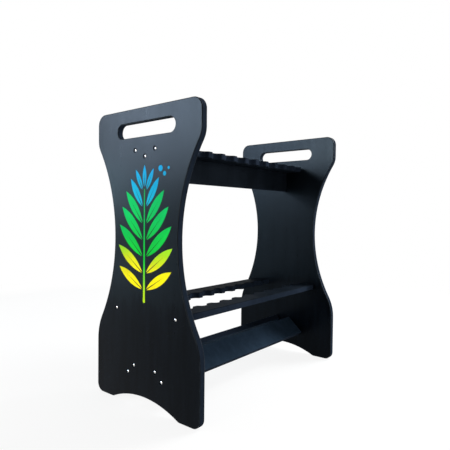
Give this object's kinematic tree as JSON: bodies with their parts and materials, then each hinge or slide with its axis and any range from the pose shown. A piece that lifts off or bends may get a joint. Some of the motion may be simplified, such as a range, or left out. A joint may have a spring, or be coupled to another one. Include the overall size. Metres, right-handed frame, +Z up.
{
  "type": "rod rack",
  "caption": "Free-standing rack of flat black plastic boards: waisted side panels with hand slots, a notched shelf on a spine, notched rails and sloping base boards.",
  "frame": {"origin": "on the floor, in the middle of the rack's footprint", "axes": "+X along the rack from the panel with the emblem to the plain panel, +Y across it to the rear, +Z up"},
  "size_m": [0.73, 0.41, 0.813],
  "materials": {
    "black_board": "fine matte grain, faint blue-grey sheen, eased edges",
    "screw_steel": "bright stainless",
    "blue_inlay": "satin, cyan blue",
    "green_inlay": "satin, bright green",
    "yellow_inlay": "satin, bright yellow"
  },
  "bodies": {
    "root": {"left_side_panel": "black_board", "right_side_panel": "black_board", "notched_top_shelf": "black_board", "centre_spine": "black_board", "front_mid_rail": "black_board", "rear_mid_rail": "black_board", "front_base_board": "black_board", "rear_base_board": "black_board", "left_shelf_screws": "screw_steel", "right_shelf_screws": "screw_steel", "left_spine_screw": "screw_steel", "right_spine_screw": "screw_steel", "left_rail_screws": "screw_steel", "right_rail_screws": "screw_steel", "left_base_screws": "screw_steel", "right_base_screws": "screw_steel", "shelf_to_spine_screws": "screw_steel", "emblem_blue_inlays": "blue_inlay", "emblem_green_inlays": "green_inlay", "emblem_yellow_inlays": "yellow_inlay"}
  },
  "joints": []
}
